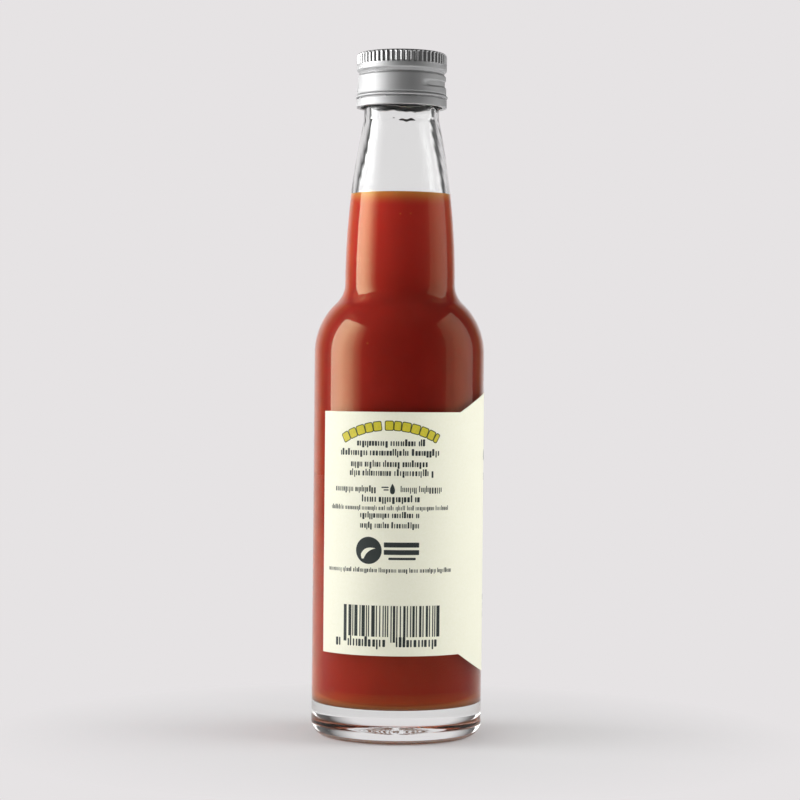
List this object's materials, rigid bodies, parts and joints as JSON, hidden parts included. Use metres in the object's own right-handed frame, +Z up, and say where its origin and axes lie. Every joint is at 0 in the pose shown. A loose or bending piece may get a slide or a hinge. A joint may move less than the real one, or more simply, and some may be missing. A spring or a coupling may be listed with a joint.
{
  "type": "hot sauce bottle",
  "caption": "Slim clear glass bottle of red hot sauce with a tapered neck, a knurled aluminium screw cap and a cream paper label with a taller front panel.",
  "frame": {"origin": "middle of the foot ring, on the surface the bottle stands on", "axes": "+Z up along the bottle's axis; -Y faces the label's wing with the small print; +X is 5 degrees short of the middle of the label's front panel"},
  "size_m": [0.0411, 0.0412, 0.1648],
  "materials": {
    "clear_glass": "clear, polished",
    "red_sauce": "smooth, slightly translucent red sauce",
    "satin_aluminium": "satin",
    "cream_paper": "uncoated, matt",
    "dark_ink": "matt print",
    "yellow_ink": "matt print"
  },
  "bodies": {
    "root": {"glass_bottle": "clear_glass", "sauce": "red_sauce", "screw_cap": "satin_aluminium", "paper_label": "cream_paper"}
  },
  "joints": []
}
